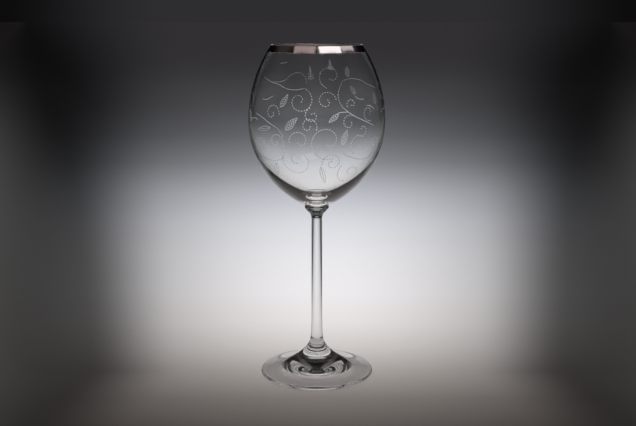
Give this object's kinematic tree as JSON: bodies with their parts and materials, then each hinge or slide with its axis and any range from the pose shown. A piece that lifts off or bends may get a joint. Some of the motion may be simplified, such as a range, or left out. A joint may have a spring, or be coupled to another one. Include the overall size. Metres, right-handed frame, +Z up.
{
  "type": "red wine glass",
  "caption": "Stemmed red wine glass: round bowl that narrows to a metal-banded lip, on a collar, a slender drawn stem and a flared round foot.",
  "frame": {"origin": "centre of the foot's resting ring, on the table", "axes": "+Z up along the axis of the stem and bowl, +X and +Y level"},
  "size_m": [0.091, 0.091, 0.2253],
  "materials": {
    "glass": "clear, fire polished, with matt etched scrolls on the bowl",
    "band_metal": "bright fired-on platinum"
  },
  "bodies": {
    "root": {"foot": "glass", "stem": "glass", "collar": "glass", "bowl": "glass", "rim_band": "band_metal"}
  },
  "joints": []
}
